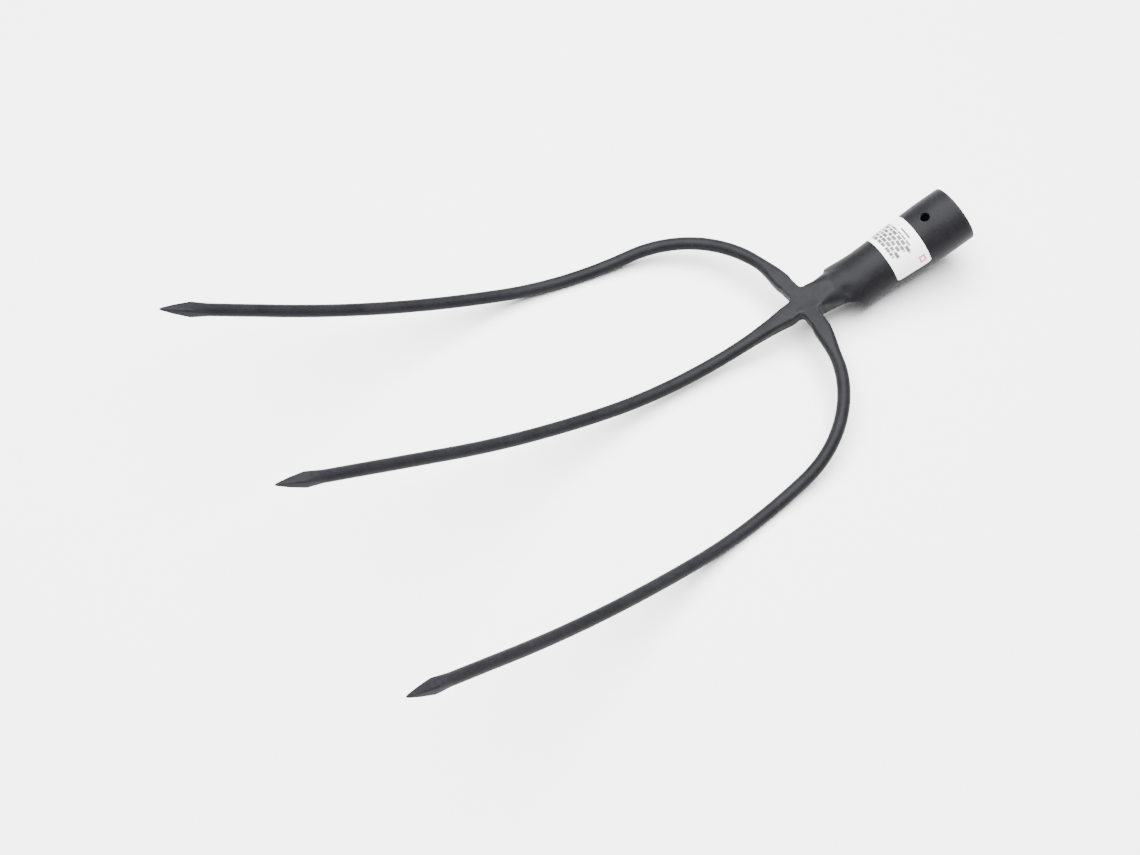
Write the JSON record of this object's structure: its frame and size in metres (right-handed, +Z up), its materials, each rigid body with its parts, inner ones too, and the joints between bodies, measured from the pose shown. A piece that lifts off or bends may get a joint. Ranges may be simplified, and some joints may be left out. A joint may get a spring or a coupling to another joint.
{
  "type": "pitchfork head",
  "caption": "Hay fork head with three curved round-bar tines, a flat forged crown and a rolled sheet socket for a wooden handle.",
  "frame": {"origin": "middle of the head's footprint on the floor it rests on", "axes": "+X from the tine tips towards the socket's mouth along the floor, +Z up, +Y to the right-hand tine"},
  "size_m": [0.4764, 0.2946, 0.1142],
  "materials": {
    "forged_steel": "dark grey paint, semi-gloss, over forged steel",
    "socket_sheet": "dark grey paint, semi-gloss, over rolled sheet steel",
    "label_paper": "plain pale adhesive label, matt"
  },
  "bodies": {
    "root": {"crown": "forged_steel", "neck": "forged_steel", "middle_tine": "forged_steel", "left_tine": "forged_steel", "right_tine": "forged_steel", "socket": "socket_sheet", "label": "label_paper"}
  },
  "joints": []
}
